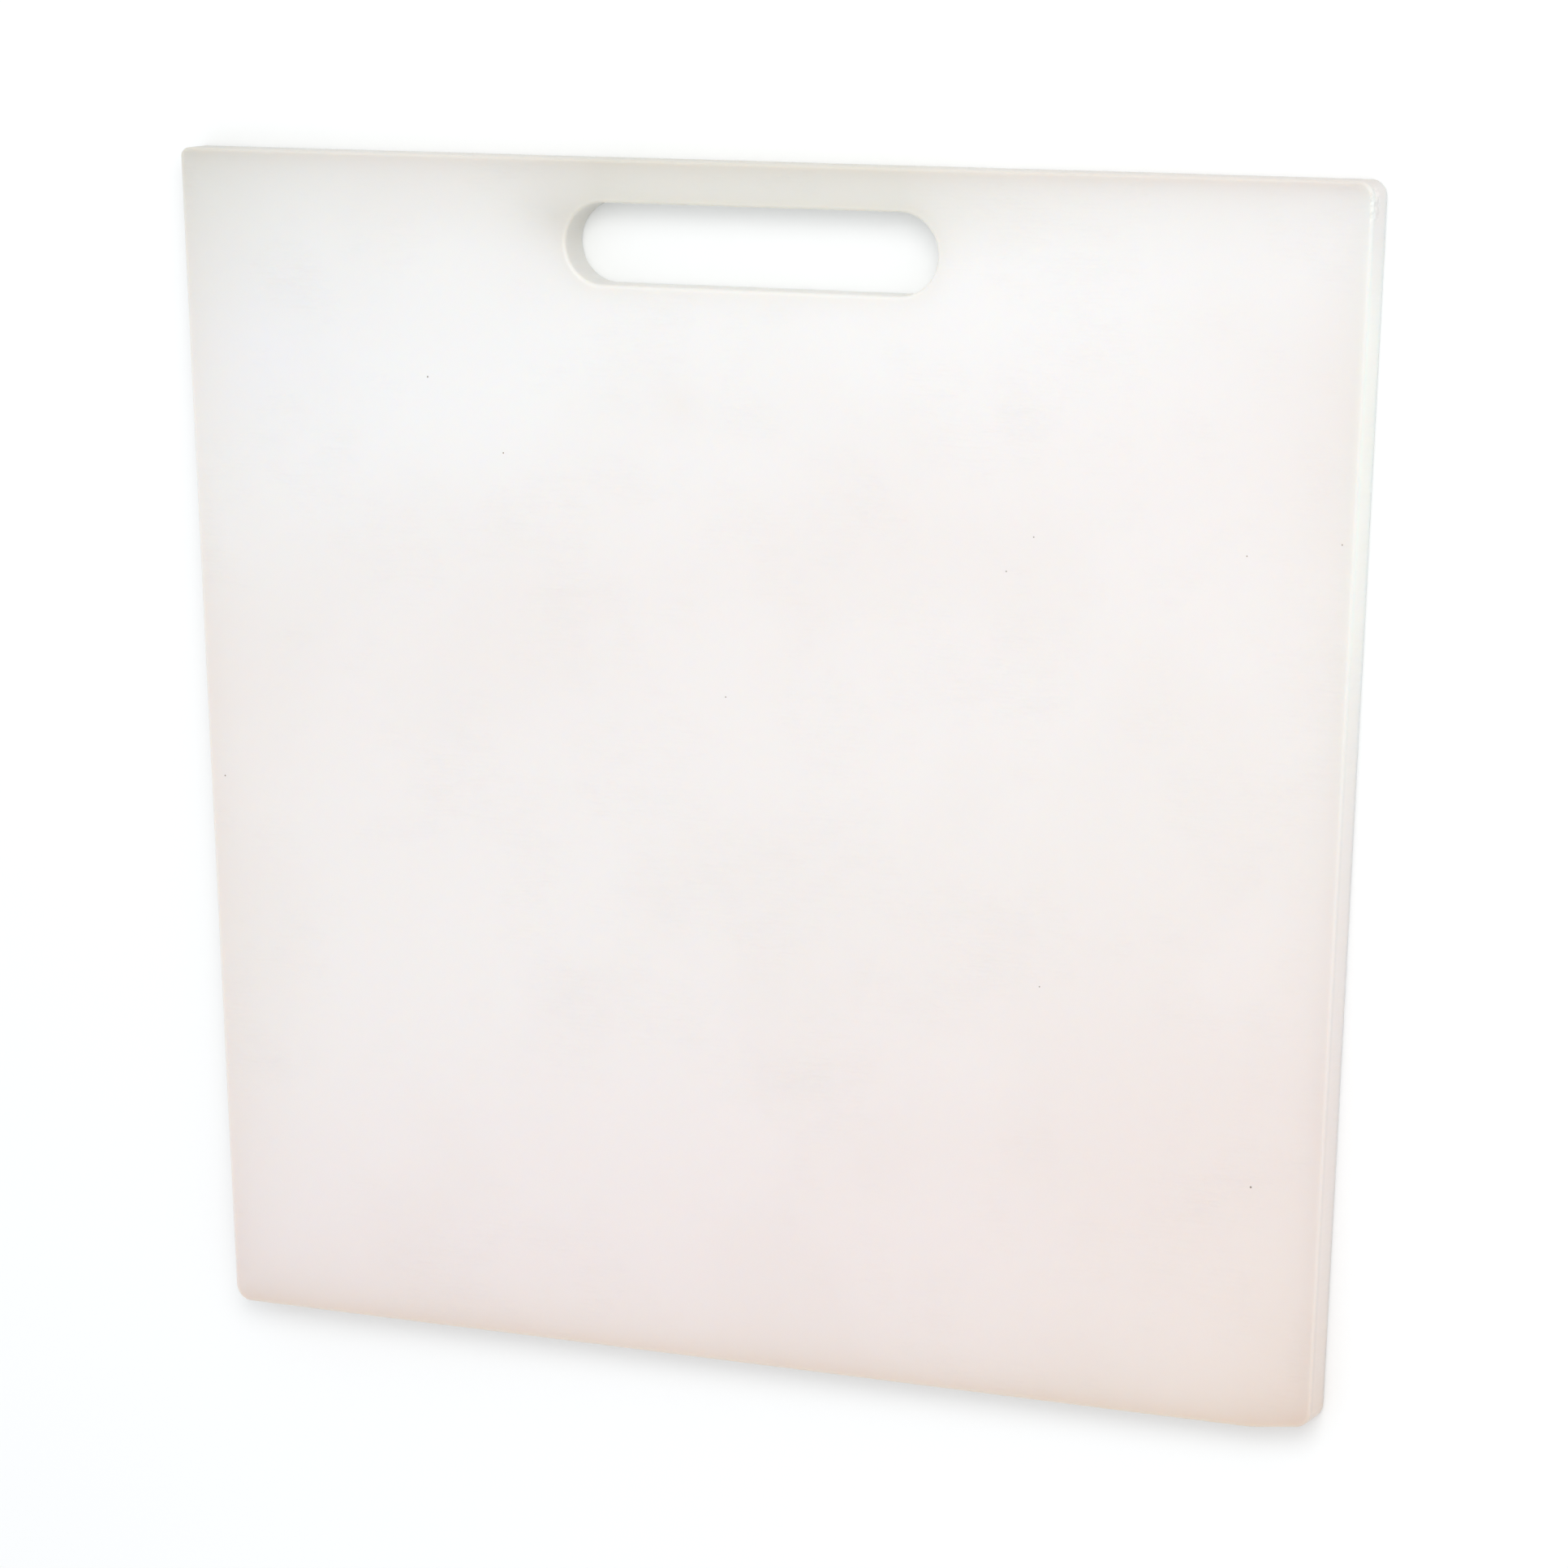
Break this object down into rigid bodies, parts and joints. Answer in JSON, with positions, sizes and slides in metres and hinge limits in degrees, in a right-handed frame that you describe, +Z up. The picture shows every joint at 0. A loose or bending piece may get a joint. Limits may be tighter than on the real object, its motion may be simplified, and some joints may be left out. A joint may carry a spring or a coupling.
{
  "type": "cutting board",
  "caption": "Flat tapered cutting board in milky white plastic sheet, with rounded corners, eased edges and a long hand slot along its wide edge.",
  "frame": {"origin": "middle of the underside, which the board rests on", "axes": "+Z up out of the cutting face, +X along the wide edge that has the hand slot, +Y from the narrow edge towards that wide edge"},
  "size_m": [0.4061, 0.381, 0.0127],
  "materials": {
    "board_plastic": "satin, milky white high-density polyethylene, slightly translucent at its rim"
  },
  "bodies": {
    "root": {"board": "board_plastic"}
  },
  "joints": []
}
